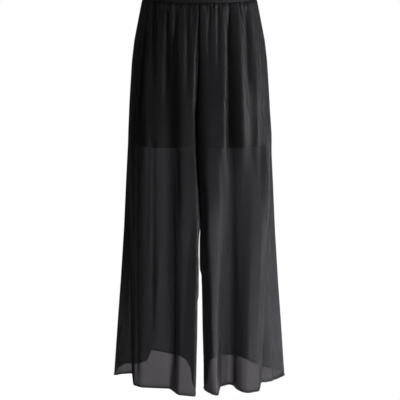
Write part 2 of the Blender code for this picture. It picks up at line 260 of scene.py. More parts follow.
def plain_section(side, face, drop, inset=0.0):
    """A half body at a drop, from side seam to middle, without folds."""
    half_width = read_table(OUTLINE, "half_width", drop) - inset
    depth = read_table(OUTLINE, face, drop) - inset
    middle = read_table(PARTING, "across", drop)
    if inset:
        middle += LINING_FROM_MIDDLE * float(ease(drop, *LINING_KEEPS_AWAY))
    turn = np.linspace(0.0, math.pi, CURVE_POINTS)
    beside_other_leg = LINING_SQUARENESS if inset else INNER_SQUARENESS[side]
    beside_seam, slope = OUTER_SQUARENESS, 0.0
    if (face, side) == ("front", "left") and not inset:
        beside_seam = read_table(LEFT_FRONT, "squareness", drop)
        slope = read_table(LEFT_FRONT, "slope", drop)
    power = 2.0 / np.where(np.cos(turn) > 0.0, beside_seam, beside_other_leg)
    reach = np.sign(np.cos(turn)) * np.abs(np.cos(turn)) ** power
    across = (half_width + middle) / 2 + (half_width - middle) / 2 * reach
    creased = sunk(drop, SHEER_CROTCH)
    if inset:
        near_middle = 1.0 - ease(across, *NEAR_MIDDLE)
        creased = creased + (sunk(drop, LINING_CROTCH) - creased) * near_middle
    body = depth * np.sqrt(np.clip(1.0 - (across / half_width) ** 2, 0.0, 1.0))
    leg = depth * np.abs(np.sin(turn)) ** power * (1.0 - slope * np.clip(reach, 0.0, 1.0))
    forward = (1.0 - creased) * body + creased * leg
    return even_curve(np.stack((across, forward * FACES[face]), axis=1))


def half_section(side, drop, lining=False):
    """Half of the garment in plan: from the middle behind, round the side, to the middle in front."""
    inset = read_table(LINING_INSET, "depth", drop) if lining else 0.0
    opened = 0.0
    if drop > FOLDS_OPEN_FROM and not lining:
        share = (drop - FOLDS_OPEN_FROM) / (HEM_DROP - FOLDS_OPEN_FROM)
        opened = share ** FOLD_OPENING_POWER
    halves = []
    for face in ("back", "front"):
        curve = plain_section(side, face, drop, inset)
        if opened:
            folded = even_curve(HEM[face + "_" + side])
            curve = curve + opened * (folded - plain_section(side, face, HEM_DROP))
        halves.append(curve)
    path = np.concatenate((halves[0][::-1], halves[1][1:]))
    soft, corner = rounded(path, HEM_ROUNDING), rounded(path, INNER_ROUNDING)
    if side == "left" and not lining:
        wide = float(ease(drop, *WIDE_FROM) * (1.0 - ease(drop, *WIDE_TO)))
        corner = corner + (rounded(path, WIDE_ROUNDING) - corner) * wide
    return corner + (soft - corner) * ease(path[:, :1], *INNER_ROUNDING_REACH)


def panel_curve(face, side, drop, lining=False):
    """One panel's line in plan from side seam to middle, with the outward way at each point."""
    path = half_section(side, drop, lining)
    tangent = np.gradient(path, axis=0)
    tangent /= np.linalg.norm(tangent, axis=1)[:, None]
    outward = np.stack((tangent[:, 1], -tangent[:, 0]), axis=1)
    seam = (len(path) - 1) // 2
    half = slice(seam, None) if face == "front" else slice(seam, None, -1)
    curve, outward = path[half], outward[half]
    return curve, outward * np.sign(outward[0, 0])


for drop in DROPS_TO_MEASURE:
    curve, _ = panel_curve("front", "left", drop)
    print("front at drop", drop, "is", round(float(np.ptp(curve[:, 0])), 3), "m wide")

# %% [markdown]
# ## Gathers
#
# The band draws in much more cloth than it is long. Each small gather starts sharp at the seam,
# deepens below it, and dies out within a hand's width. Between them the cloth stands out a
# little, so that the body keeps its width. No two are alike: a loop gives each one its own place,
# depth, width and length from a few slow waves. Waves give the same garment every time and are
# easy to retune.

# %% Gathers
GATHERS = 20
GATHER_DEPTH = 4.8 * MM
GATHER_DEPTH_AT_SEAM = 3.4 * MM
GATHER_SWELL = 0.19
GATHERS_GROW = (TOP_DROP, 0.030)
GATHER_LENGTHS = (0.040, 0.105)
GATHER_SHIFT = 0.22
GATHER_WIDTH, WIDTH_SWING = 0.30, 0.08
GATHER_STRENGTH, STRENGTH_SWING = 0.7, 0.3
GATHER_TURN = 1.9
WIDTH_PACE, LENGTH_PACE, STRENGTH_PACE = 2.3, 1.7, 2.9
FIRST_TURN = {"front_left": 2.0, "front_right": 7.5, "back_left": 11.0, "back_right": 4.5}


def gathers(panel, place, drop):
    """The depth of a panel's gathers at places from side to middle (0 to 1)."""
    depth = np.interp(drop, GATHERS_GROW, (GATHER_DEPTH_AT_SEAM, GATHER_DEPTH))
    total = np.zeros_like(place)
    for index in range(GATHERS):
        swing = index * GATHER_TURN + FIRST_TURN[panel]
        middle = (index + 0.5 + GATHER_SHIFT * math.sin(swing)) / GATHERS
        width = (GATHER_WIDTH + WIDTH_SWING * math.sin(WIDTH_PACE * swing)) / GATHERS
        end = np.interp(math.sin(LENGTH_PACE * swing), (-1.0, 1.0), GATHER_LENGTHS)
        own = GATHER_STRENGTH + STRENGTH_SWING * math.cos(STRENGTH_PACE * swing)
        fade = 1.0 - ease(drop, GATHERS_GROW[1], end)
        total += own * fade * np.exp(-((place - middle) / width) ** 2)
    return depth * (GATHER_SWELL - total)


print("small gathers round the waist:", len(FIRST_TURN) * GATHERS)

# %% [markdown]
# ## Long folds, one by one
#
# Below the small gathers the cloth falls in long, soft folds. Each row of the table is one fold
# on one panel: the drops where it starts and ends, how far from the middle it lies at both ends,
# its depth in millimetres (a minus is a trough, a plus a ridge), and its half widths toward the
# middle and toward the side. Two widths make a fold lean, sharp on one side and soft on the
# other, which plain waves can't. The front's follow the folds that show, and the back has similar
# ones of its own. Beside the crease between the legs a wide trough sets the right leg back and a
# wide ridge brings the left leg forward, so that the left leg's edge shades the right's.

# %% Fold table
Fold = namedtuple("Fold", "start end across_start across_end depth inner outer")
FOLDS = {
    "front_right": (
        Fold(-0.03, 0.42, 0.122, 0.158, -14.0, 6.0, 7.0),
        Fold(0.28, 1.02, 0.154, 0.164, -7.5, 8.0, 8.0),
        Fold(0.13, 0.44, 0.129, 0.131, 4.5, 13.0, 6.0),
        Fold(-0.03, 0.24, 0.105, 0.113, -12.0, 6.0, 9.0),
        Fold(0.32, 0.92, 0.113, 0.120, -4.5, 7.0, 9.0),
        Fold(-0.02, 0.28, 0.075, 0.084, -9.5, 5.5, 6.5),
        Fold(-0.02, 0.24, 0.054, 0.062, -10.0, 5.0, 6.0),
        Fold(0.08, 0.98, 0.073, 0.069, -10.0, 13.0, 26.0),
        Fold(0.06, 0.64, 0.047, 0.042, 4.5, 24.0, 9.0),
        Fold(-0.02, 0.28, 0.028, 0.030, -5.5, 6.0, 6.5),
        Fold(0.00, 0.59, 0.007, 0.005, -9.0, 14.0, 2.5),
        Fold(0.28, 0.68, 0.010, 0.010, -3.0, 8.0, 40.0),
        Fold(0.60, 1.10, 0.005, 0.007, 2.5, 3.0, 7.0),
    ),
    "front_left": (
        Fold(0.00, 0.40, 0.000, 0.000, -5.0, 7.0, 8.0),
        Fold(0.24, 0.76, 0.006, 0.006, 6.5, 4.0, 46.0),
        Fold(0.00, 0.20, 0.019, 0.022, -3.0, 4.0, 6.0),
        Fold(0.46, 0.78, 0.028, 0.030, 2.5, 22.0, 22.0),
        Fold(0.44, 1.02, 0.012, 0.013, -7.0, 8.0, 32.0),
        Fold(0.00, 0.22, 0.042, 0.046, -3.0, 4.0, 5.0),
        Fold(0.36, 0.64, 0.047, 0.050, 2.2, 16.0, 9.0),
        Fold(0.54, 1.04, 0.044, 0.045, 3.0, 13.0, 10.0),
        Fold(0.36, 0.52, 0.054, 0.054, -1.6, 2.2, 2.2),
        Fold(0.00, 0.18, 0.068, 0.069, -5.0, 5.0, 9.0),
        Fold(-0.02, 0.46, 0.060, 0.060, 2.2, 18.0, 4.4),
        Fold(-0.05, 0.46, 0.069, 0.069, -15.0, 3.2, 14.5),
        Fold(0.34, 1.15, 0.080, 0.083, -5.0, 15.0, 14.0),
        Fold(0.02, 0.46, 0.094, 0.110, 6.0, 14.0, 12.0),
        Fold(0.00, 0.29, 0.113, 0.122, -14.0, 7.0, 15.0),
        Fold(0.22, 0.40, 0.120, 0.126, -2.5, 9.0, 14.0),
        Fold(0.06, 0.46, 0.137, 0.141, 2.5, 6.0, 4.5),
        Fold(0.32, 0.80, 0.166, 0.175, 4.0, 14.0, 8.0),
        Fold(0.86, 1.10, 0.163, 0.168, -3.0, 5.0, 5.0),
        Fold(0.90, 1.10, 0.177, 0.184, -3.0, 4.5, 5.0),
        Fold(0.88, 1.10, 0.190, 0.199, -2.5, 5.0, 5.0),
    ),
    "back_right": (
        Fold(0.00, 0.40, 0.000, 0.000, -8.0, 8.0, 8.0),
        Fold(0.00, 0.30, 0.020, 0.026, 3.0, 5.0, 5.0),
        Fold(0.00, 0.26, 0.033, 0.038, -4.0, 4.5, 5.5),
        Fold(0.00, 0.70, 0.048, 0.046, 4.0, 9.0, 7.0),
        Fold(0.00, 0.90, 0.062, 0.074, -8.0, 7.0, 12.0),
        Fold(0.02, 0.55, 0.084, 0.100, 5.0, 8.0, 7.0),
        Fold(0.00, 0.45, 0.098, 0.118, -4.5, 6.0, 6.0),
        Fold(0.03, 0.80, 0.112, 0.132, 4.0, 8.0, 8.0),
        Fold(0.00, 0.75, 0.124, 0.146, -6.0, 7.0, 9.0),
        Fold(0.04, 0.40, 0.140, 0.158, 3.0, 5.0, 5.0),
    ),
    "back_left": (
        Fold(0.00, 0.40, 0.000, 0.000, -8.0, 8.0, 8.0),
        Fold(0.00, 0.26, 0.018, 0.024, 3.0, 5.0, 4.0),
        Fold(0.00, 0.34, 0.029, 0.036, -4.0, 5.0, 5.0),
        Fold(0.00, 0.60, 0.044, 0.052, 4.5, 9.0, 8.0),
        Fold(0.00, 0.80, 0.060, 0.070, -7.0, 9.0, 8.0),
        Fold(0.00, 0.34, 0.076, 0.086, 3.0, 6.0, 6.0),
        Fold(0.00, 0.85, 0.090, 0.106, -6.5, 12.0, 7.0),
        Fold(0.02, 0.70, 0.108, 0.126, 5.0, 8.0, 8.0),
        Fold(0.00, 0.50, 0.122, 0.148, -5.0, 6.0, 8.0),
        Fold(0.05, 0.60, 0.140, 0.160, 3.5, 6.0, 6.0),
    ),
}
FOLDS_OPEN = (0.00, 0.22)
FOLD_DEPTH_AT_BAND = 0.60
FOLD_WIDTH_AT_BAND = 0.65
FOLD_SOFT_START = 0.045
FOLD_SOFT_END = 0.14
FOLDS_STOP_AT_SIDE = (0.00, 0.05)
FOLDS_STOP_INSIDE = (0.84, 0.96)
FOLDS_STOP_INSIDE_FROM = (0.120, 0.340)


def long_folds(panel, curve, place, drop):
    """The depth of a panel's listed folds at places from side to middle."""
    length = length_of(curve)
    deep = np.interp(drop, FOLDS_OPEN, (FOLD_DEPTH_AT_BAND, 1.0))
    wide = np.interp(drop, FOLDS_OPEN, (FOLD_WIDTH_AT_BAND, 1.0))
    total = np.zeros_like(place)
    for fold in FOLDS[panel]:
        strength = deep * ease(drop, fold.start, fold.start + FOLD_SOFT_START)
        strength *= 1.0 - ease(drop, fold.end - FOLD_SOFT_END, fold.end)
        if strength <= 0.0:
            continue
        across = np.interp(drop, (fold.start, fold.end), (fold.across_start, fold.across_end))
        reached = np.nonzero(curve[:, 0] <= across)[0]
        middle = (reached[0] if len(reached) else len(curve) - 1) / (len(curve) - 1)
        away = (place - middle) * length
        width = np.where(away > 0.0, fold.inner, fold.outer) * wide * MM
        total += strength * fold.depth * MM * np.exp(-(away / width) ** 2)
    inside = ease(place, *FOLDS_STOP_INSIDE) * ease(drop, *FOLDS_STOP_INSIDE_FROM)
    return total * ease(place, *FOLDS_STOP_AT_SIDE) * (1.0 - inside)


print("folds placed by hand:", sum(len(rows) for rows in FOLDS.values()))

# %% [markdown]
# ## Rows of points for a panel
#
# A panel is a stack of rows. Each row is the section at one drop, pushed in and out by gathers
# and folds, and kept just short of the seams. Between the crotch and the point where the legs
# part, both inner legs share one sideways wave, so that they nestle and no light shows between.

# %% Panel rows
SHEER_SHELL = 0.4 * MM
LINING_SHELL = 0.5 * MM
LINING_FOLD_SHARE = 0.35
WAVE_DEPTH = 0.0050
WAVE_LENGTH = 0.110
WAVE_LEAN = 9.0
WAVE_START = 2.6
WAVE_REACH = 0.050
WAVE_GROWS = (0.120, 0.300)
WAVE_FADES = (0.540, LEGS_PART_FROM)
TO_RISE_SEAM = (0.90, 1.00)


def shared_wave(across, forward, drop):
    """The sideways wave of both inner legs, which dies away from the middle."""
    strength = ease(drop, *WAVE_GROWS) * (1.0 - ease(drop, *WAVE_FADES))
    near = (1.0 - np.clip(across / WAVE_REACH, 0.0, 1.0)) ** 2
    turn = 2.0 * math.pi * forward / WAVE_LENGTH + WAVE_LEAN * drop + WAVE_START
    return WAVE_DEPTH * strength * near * np.sin(turn)


def panel_row(face, side, drop, places, lining=False, lift=0.0):
    """Points of one panel at a drop, at places from side seam to middle, lifted outward."""
    panel = face + "_" + side
    curve, outward = panel_curve(face, side, drop, lining)
    at = places * (len(curve) - 1)
    columns = (*curve.T, *outward.T)
    across, forward, out_x, out_y = (np.interp(at, range(len(curve)), values) for values in columns)
    push = long_folds(panel, curve, places, drop)
    push = LINING_FOLD_SHARE * push if lining else push + gathers(panel, places, drop)
    across = across + (push + lift) * out_x
    forward = forward + (push + lift) * out_y
    if drop <= (LINING_CROTCH if lining else SHEER_CROTCH):
        across = across * (1.0 - ease(places, *TO_RISE_SEAM))
    else:
        across = np.maximum(across, SHEER_SHELL)
    shared = shared_wave(across, forward, drop)
    return [Vector((SIDES[side] * a + s, -f, -drop)) for a, f, s in zip(across, forward, shared)]


print("inner legs' wave, mm:", round(WAVE_DEPTH / MM, 1))

# %% [markdown]
# ## From rows to a sheet
#
# A row of vertices joined by edges can be extruded, and the new edge row moved to its place. Doing
# that again and again weaves a sheet of clean quads from hem to band, which is how the panel was
# woven too. Each vertex also keeps its place on the flat cloth, in metres, so that the weave in
# the material follows the cloth and not the room.

# %% Sheet maker
CLOTH_PLACE = "cloth_place"


def place_chain(mesh, chain, row, widths, drop):
    """Move a chain of vertices to a row of points and note their places on the flat cloth."""
    layer = mesh.verts.layers.float_vector[CLOTH_PLACE]
    for vertex, point, width in zip(chain, row, widths):
        vertex.co = point
        vertex[layer] = (width, drop, 0.0)


def weave(rows, widths, drops):
    """A sheet of quads through rows of points."""
    mesh = bmesh.new()
    mesh.verts.layers.float_vector.new(CLOTH_PLACE)
    chain = [mesh.verts.new() for _ in rows[0]]
    edges = [mesh.edges.new(pair) for pair in zip(chain, chain[1:])]
    place_chain(mesh, chain, rows[0], widths, drops[0])
    for row, drop in zip(rows[1:], drops[1:]):
        made = bmesh.ops.extrude_edge_only(mesh, edges=edges)["geom"]
        fresh = {item for item in made if isinstance(item, bmesh.types.BMVert)}
        chain = [next(e.other_vert(v) for e in v.link_edges if e.other_vert(v) in fresh)
                 for v in chain]
        edges = [mesh.edges.get(pair) for pair in zip(chain, chain[1:])]
        place_chain(mesh, chain, row, widths, drop)
    bmesh.ops.recalc_face_normals(mesh, faces=mesh.faces[:])
    return mesh


def put_in_scene(name, data):
    """A new object in the scene for a mesh, light or camera."""
    item = bpy.data.objects.new(name, data)
    bpy.context.collection.objects.link(item)
    return item


def stored(name, mesh, material):
    """A bmesh stored as a mesh of one material."""
    data = bpy.data.meshes.new(name)
    mesh.to_mesh(data)
    mesh.free()
    data.materials.append(material)
    return data


def finish_piece(name, mesh, material, replaced=(), wall=0.0):
    """Turn a bmesh into a finished piece that rides on the garment."""
    data = stored(name, mesh, material)
    data.shade_smooth()
    piece = put_in_scene(name, data)
    if wall:
        shell = piece.modifiers.new("Shell", "SOLIDIFY")
        shell.thickness = wall
        shell.offset = 0.0
    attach(piece, "root")
    if replaced:
        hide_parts(*replaced)
    print(name, "faces:", len(data.polygons))
    return piece


print("places on the flat cloth are kept as:", CLOTH_PLACE)

# %% [markdown]
# ## Black cloth
#
# Chiffon, satin and the band's cloth are all woven and black, and no dye is quite even. So one
# helper gives each of them lines along its threads, soft clouds in the colour and a fine relief,
# with numbers of its own. The lines follow the cloth's own places, so they bend with every fold.

# %% Woven cloth
RELIEF_DEPTH = 0.1 * MM
THREAD_DISTORTION = 0.4
Weave = namedtuple("Weave", "threads both_ways clouds thread_share cloud_share dark light relief")


def new_material(name):
    """A new material, with its node tree and its shader."""
    material = bpy.data.materials.new(name)
    material.use_nodes = True
    tree = material.node_tree
    return material, tree, tree.nodes["Principled BSDF"]


def set_inputs(node, values):
    """Set a node's inputs by their names."""
    for name, value in values.items():
        node.inputs[name].default_value = value


def cloth_place(tree):
    """A node with the place on the flat cloth."""
    place = tree.nodes.new("ShaderNodeAttribute")
    place.attribute_name = CLOTH_PLACE
    return place.outputs["Vector"]


def threads(tree, vector, scale, axis):
    """Fine woven lines along one way of the cloth."""
    wave = tree.nodes.new("ShaderNodeTexWave")
    wave.wave_type = "BANDS"
    wave.bands_direction = axis
    set_inputs(wave, {"Scale": scale, "Distortion": THREAD_DISTORTION, "Detail": 1.0})
    tree.links.new(vector, wave.inputs["Vector"])
    return wave.outputs["Fac"]


def mixed(tree, first, second, kind="ADD"):
    """The sum, product or other mix of two numbers."""
    node = tree.nodes.new("ShaderNodeMath")
    node.operation = kind
    for socket, value in zip(node.inputs, (first, second)):
        if isinstance(value, (int, float)):
            socket.default_value = value
        else:
            tree.links.new(value, socket)
    return node.outputs["Value"]


def shaded_range(tree, value, low, high):
    """A colour ramp between two colours."""
    ramp = tree.nodes.new("ShaderNodeValToRGB")
    ramp.color_ramp.elements[0].color = (*low, 1.0)
    ramp.color_ramp.elements[1].color = (*high, 1.0)
    tree.links.new(value, ramp.inputs["Fac"])
    return ramp.outputs["Color"]


def noise(tree, vector, scale):
    """Soft clouds, for uneven dye."""
    node = tree.nodes.new("ShaderNodeTexNoise")
    set_inputs(node, {"Scale": scale, "Detail": 2.0})
    tree.links.new(vector, node.inputs["Vector"])
    return node.outputs["Fac"]


def bump(tree, height, strength):
    """Fine relief from a height."""
    node = tree.nodes.new("ShaderNodeBump")
    set_inputs(node, {"Distance": RELIEF_DEPTH, "Strength": strength})
    tree.links.new(height, node.inputs["Height"])
    return node.outputs["Normal"]


def woven(name, cloth, looks):
    """A woven material: colour and relief from the cloth's weave, and its other looks by name."""
    material, tree, shader = new_material(name)
    place = cloth_place(tree)
    height = threads(tree, place, cloth.threads, "X")
    if cloth.both_ways:
        height = mixed(tree, height, threads(tree, place, cloth.threads, "Y"))
    lines = mixed(tree, height, cloth.thread_share, "MULTIPLY")
    clouds = mixed(tree, noise(tree, place, cloth.clouds), cloth.cloud_share, "MULTIPLY")
    color = shaded_range(tree, mixed(tree, lines, clouds), cloth.dark, cloth.light)
    tree.links.new(color, shader.inputs["Base Color"])
    tree.links.new(bump(tree, height, cloth.relief), shader.inputs["Normal"])
    set_inputs(shader, looks)
    return material


print("relief of the weave, mm:", round(RELIEF_DEPTH / MM, 2))

# %% [markdown]
# ## Three strengths of chiffon
#
# Chiffon is a plain weave of fine twisted yarn with open holes. One layer lets about a sixth of
# the light through here. The shell has two surfaces, so each of them lets two fifths through. Seen
# more from the side the holes close, which darkens the flanks of the folds. The yarns scatter
# light at a low angle, and that is the faint sheen.
#
# A rolled hem is several layers thick, so its chiffon is denser. The sheet at the crotch is to darken
# the legs there only a little, so its chiffon is thinner.

# %% Chiffon
CHIFFON_WEAVE = Weave(
    threads=520.0, both_ways=True, clouds=9.0, thread_share=0.25, cloud_share=0.5,
    dark=(0.0152, 0.0147, 0.0165), light=(0.0350, 0.0335, 0.0380), relief=0.12,
)
CHIFFON_LOOKS = {
    "Roughness": 0.55,
    "Specular IOR Level": 0.2,
    "Sheen Weight": 0.06,
    "Sheen Roughness": 0.4,
}
LIGHT_THROUGH_ONE_FACE = 0.40
LIGHT_THROUGH_ROLL = 0.12
LIGHT_THROUGH_INNER = 0.68
EDGE_ON = 0.10


def closing_with_angle(tree, through):
    """How solid a thin woven face is: its holes close as it is seen more from the side."""
    facing = tree.nodes.new("ShaderNodeLayerWeight")
    set_inputs(facing, {"Blend": 0.5})
    turned_to_camera = mixed(tree, 1.0, facing.outputs["Facing"], "SUBTRACT")
    square_on = mixed(tree, turned_to_camera, EDGE_ON, "MAXIMUM")
    longer_way = mixed(tree, 1.0, square_on, "DIVIDE")
    return mixed(tree, 1.0, mixed(tree, through, longer_way, "POWER"), "SUBTRACT")


def make_chiffon(name, through):
    """See-through black chiffon, of which each face lets a share of the light through."""
    material = woven(name, CHIFFON_WEAVE, CHIFFON_LOOKS)
    tree = material.node_tree
    shader = tree.nodes["Principled BSDF"]
    tree.links.new(closing_with_angle(tree, through), shader.inputs["Alpha"])
    return material


CHIFFON = make_chiffon("black_chiffon", LIGHT_THROUGH_ONE_FACE)
ROLLED_CHIFFON = make_chiffon("rolled_chiffon", LIGHT_THROUGH_ROLL)
INNER_CHIFFON = make_chiffon("inner_chiffon", LIGHT_THROUGH_INNER)
print("materials:", CHIFFON.name, ROLLED_CHIFFON.name, INNER_CHIFFON.name)

# %% [markdown]
# ## The four chiffon panels
#
# Each leg is a front and a back, joined at the side seam and the inseam, and the two legs are
# joined at the rise seams. They are four sheets, so the seams between them are real. Columns run
# with the threads, and rows are closer under the band, where the gathers are sharp.

# %% Chiffon panels
PANEL_COLUMNS = 156
ROWS_BY_HEIGHT = ((TOP_DROP, 0.140, 16), (0.140, 0.620, 34), (0.620, HEM_DROP, 26))
PANEL_WIDTH = 0.52


def spaced_drops(stretches):
    """Drops from the hem up, with the given number of rows in each stretch."""
    drops = [stretches[-1][1]]
    for top, bottom, count in reversed(stretches):
        drops += list(np.linspace(bottom, top, count + 1)[1:])
    return drops


def panel_mesh(face, side, stretches, columns, lining=False, lift=0.0):
    """The sheet of one panel."""
    places = np.linspace(0.0, 1.0, columns + 1)
    drops = spaced_drops(stretches)
    rows = [panel_row(face, side, drop, places, lining, lift) for drop in drops]
    return weave(rows, places * PANEL_WIDTH, drops)


panels = {}
for side in SIDES:
    for face in FACES:
        name = face + "_" + side
        sheet = panel_mesh(face, side, ROWS_BY_HEIGHT, PANEL_COLUMNS)
        panels[name] = finish_piece("chiffon_" + name, sheet, CHIFFON, (name,), SHEER_SHELL)

# %% [markdown]
# ## Seams
#
# Sheer cloth is joined with narrow French seams: the raw edges are folded in, and a strip of
# several layers lies on the inside, pressed to the back. Each strip here follows its own panel's
# edge, a little further in, so it curves as the panel does. As one more layer of chiffon it
# shows as a darker line.

# %% Seam strips
SEAM_WIDTH = 0.005
SEAM_DEPTH_IN = -0.9 * MM
SEAM_WALL = 0.9 * MM
SEAM_COLUMNS = 3
SEAM_ROWS = 80
SEAM_STARTS_AT = 0.001


def seam_strip(face, side, at_middle, start, end):
    """The sheet of one seam's strip, along the side or the middle edge of a panel."""
    drops = np.linspace(end, start, SEAM_ROWS)
    rows = []
    for drop in drops:
        curve, _ = panel_curve(face, side, drop)
        share = SEAM_WIDTH / length_of(curve)
        places = np.linspace(SEAM_STARTS_AT, share, SEAM_COLUMNS + 1)
        places = 1.0 - places[::-1] if at_middle else places
        rows.append(panel_row(face, side, drop, places, lift=SEAM_DEPTH_IN))
    return weave(rows, np.linspace(0.0, SEAM_WIDTH, SEAM_COLUMNS + 1), drops)


seams = {name: [] for name in panels}
for side in SIDES:
    for title, at_middle, start in (("side_seam", False, TOP_DROP), ("inseam", True, SHEER_CROTCH)):
        strip = seam_strip("back", side, at_middle, start, HEM_DROP)
        name = "chiffon_" + title + "_" + side
        seams["back_" + side].append(finish_piece(name, strip, CHIFFON, wall=SEAM_WALL))
for face in FACES:
    strip = seam_strip(face, "left", True, TOP_DROP, SHEER_CROTCH)
    name = "chiffon_rise_seam_" + face
    seams[face + "_left"].append(finish_piece(name, strip, CHIFFON, wall=SEAM_WALL))

# %% [markdown]
# ## Rolled hems
#
# The edge of chiffon is rolled and caught with thread, which leaves a cord as thin as a match.
# It shows as the dark line round each leg, in front and through the cloth behind, so it takes the
# denser chiffon. A ring of points swept along the hem makes the roll: its rows run round the
# roll, and its columns along it.

# %% Hems
HEM_ROLL = 1.3 * MM
ROLL_SIDES = 8
ROLL_CLOTH = 6.0 * MM
MERGE_WITHIN = 0.02 * MM


def hem_path(side, lining=False, drop=HEM_DROP, columns=PANEL_COLUMNS, lift=0.0):
    """The closed line of one leg's edge: the front from side to middle, then the back."""
    places = np.linspace(0.0, 1.0, columns + 1)
    front = panel_row("front", side, drop, places, lining, lift)
    back = panel_row("back", side, drop, places, lining, lift)
    return front + back[::-1][1:-1]


def ways_along(path):
    """The way along a closed line and the way level and square to it, at each point."""
    points = np.array(path)
    along = np.roll(points, -1, axis=0) - np.roll(points, 1, axis=0)
    along /= np.linalg.norm(along, axis=1)[:, None]
    return points, along, np.stack((along[:, 1], -along[:, 0], np.zeros(len(along))), axis=1)


def roll_mesh(path, radius):
    """A thin closed roll along a closed line."""
    points, _, level = ways_along(path)
    up = np.array((0.0, 0.0, 1.0))
    rows = []
    for turn in np.linspace(0.0, 2.0 * math.pi, ROLL_SIDES + 1):
        ring = points + radius * (math.cos(turn) * level + math.sin(turn) * up)
        rows.append([Vector(point) for point in (*ring, ring[0])])
    widths = np.linspace(0.0, length_of(points), len(rows[0]))
    return close_up(weave(rows, widths, np.linspace(0.0, ROLL_CLOTH, len(rows))))


def close_up(mesh):
    """Merge the edges that meet and turn the faces outward."""
    bmesh.ops.remove_doubles(mesh, verts=mesh.verts[:], dist=MERGE_WITHIN)
    bmesh.ops.recalc_face_normals(mesh, faces=mesh.faces[:])
    return mesh


for side in SIDES:
    roll = roll_mesh(hem_path(side), HEM_ROLL)
    finish_piece("chiffon_hem_" + side, roll, ROLLED_CHIFFON)

# %% [markdown]
# ## A sheet at the crotch
#
# A sheet of chiffon hangs from the rise in one deep soft fold inside each leg, and makes the
# darker rounded shape below the lining. It is bent round a C in plan, whose lower edge rises
# away from the middle. It hangs free inside the leg, close to the cloth of the inner leg and
# waving with it, in the thinner chiffon.

# %% Crotch sheet
Turn = namedtuple("Turn", "across forward")
CROTCH_FOLD = (
    Turn(0.054, 0.070),
    Turn(0.050, 0.082),
    Turn(0.026, 0.080),
    Turn(0.005, 0.056),
    Turn(0.004, 0.000),
    Turn(0.005, -0.062),
    Turn(0.026, -0.088),
    Turn(0.050, -0.096),
    Turn(0.054, -0.084),
)
CROTCH_FOLD_TOP = 0.335
CROTCH_FOLD_LOW = 0.578
CROTCH_FOLD_RISE = 0.055
CROTCH_RISE_POWER = 3
CROTCH_FOLD_LENGTH = 0.24
CROTCH_FOLD_ROUNDING = 0.012
CROTCH_COLUMNS = 60
CROTCH_ROWS = 24


def crotch_fold(side):
    """The sheet of the deep fold inside one leg."""
    plan = rounded(even_curve(CROTCH_FOLD), CROTCH_FOLD_ROUNDING)
    plan = even_curve(plan, CROTCH_COLUMNS + 1)
    away = plan[:, 0] / max(plan[:, 0])
    lowest = CROTCH_FOLD_LOW - CROTCH_FOLD_RISE * away ** CROTCH_RISE_POWER
    rows = []
    shares = np.linspace(1.0, 0.0, CROTCH_ROWS + 1)
    for share in shares:
        row = []
        for (across, forward), low in zip(plan, lowest):
            drop = CROTCH_FOLD_TOP + share * (low - CROTCH_FOLD_TOP)
            shared = float(shared_wave(across, forward, drop))
            row.append(Vector((SIDES[side] * across + shared, -forward, -drop)))
        rows.append(row)
    drops = CROTCH_FOLD_TOP + CROTCH_FOLD_LENGTH * shares
    return weave(rows, np.linspace(0.0, length_of(plan), len(plan)), drops)


for side in SIDES:
    name = "chiffon_crotch_" + side
    piece = finish_piece(name, crotch_fold(side), INNER_CHIFFON, wall=SHEER_SHELL)
    seams["back_" + side].append(piece)

# %% [markdown]
# ## What the panels were cut from
#
# A sheet of cloth is bigger flat than it looks when gathered. Each leg panel was cut about half
# a metre wide: nearly as wide at the top, where the band gathers it, as at the hem.

# %% The panels' faces and sides
for name, panel in panels.items():
    face, side = name.split("_")

# %% [markdown]
# ## The lining
#
# The lining is a pair of short, close legs in opaque satin. It hangs inside the chiffon from the
# same seam. Its lower edge shows through, as the line between the dark thighs and the paler legs.
# A satin's threads float along one way, so its lines run one way only, and it shines more.

# %% Lining
SATIN_WEAVE = Weave(
    threads=700.0, both_ways=False, clouds=14.0, thread_share=0.3, cloud_share=0.6,
    dark=(0.004, 0.004, 0.005), light=(0.014, 0.014, 0.017), relief=0.2,
)
LINING_ROWS = ((TOP_DROP, LINING_CROTCH, 18), (LINING_CROTCH, LINING_HEM_DROP, 6))
LINING_COLUMNS = 96
SATIN = woven("black_lining", SATIN_WEAVE, {"Roughness": 0.42})
for side in SIDES:
    for face in FACES:
        name = "lining_" + face + "_" + side
        sheet = panel_mesh(face, side, LINING_ROWS, LINING_COLUMNS, lining=True)
        finish_piece("satin_" + name, sheet, SATIN, (name,), LINING_SHELL)

# %% [markdown]
# ## Stitches
#
# A machine stitch is a short thread that dips into the cloth at both ends. One small stretched
# ball is a fair stitch at this size, and a few hundred of them in one mesh make a row of sewing.

# %% Stitches
STITCH_PITCH = 3.0 * MM
STITCH_LENGTH = 2.3 * MM
STITCH_RADIUS = 0.22 * MM
STITCH_SIDES, STITCH_RINGS = 6, 4
STITCHES_AT_ONCE = 25
THREAD_CLOUDS = 900.0


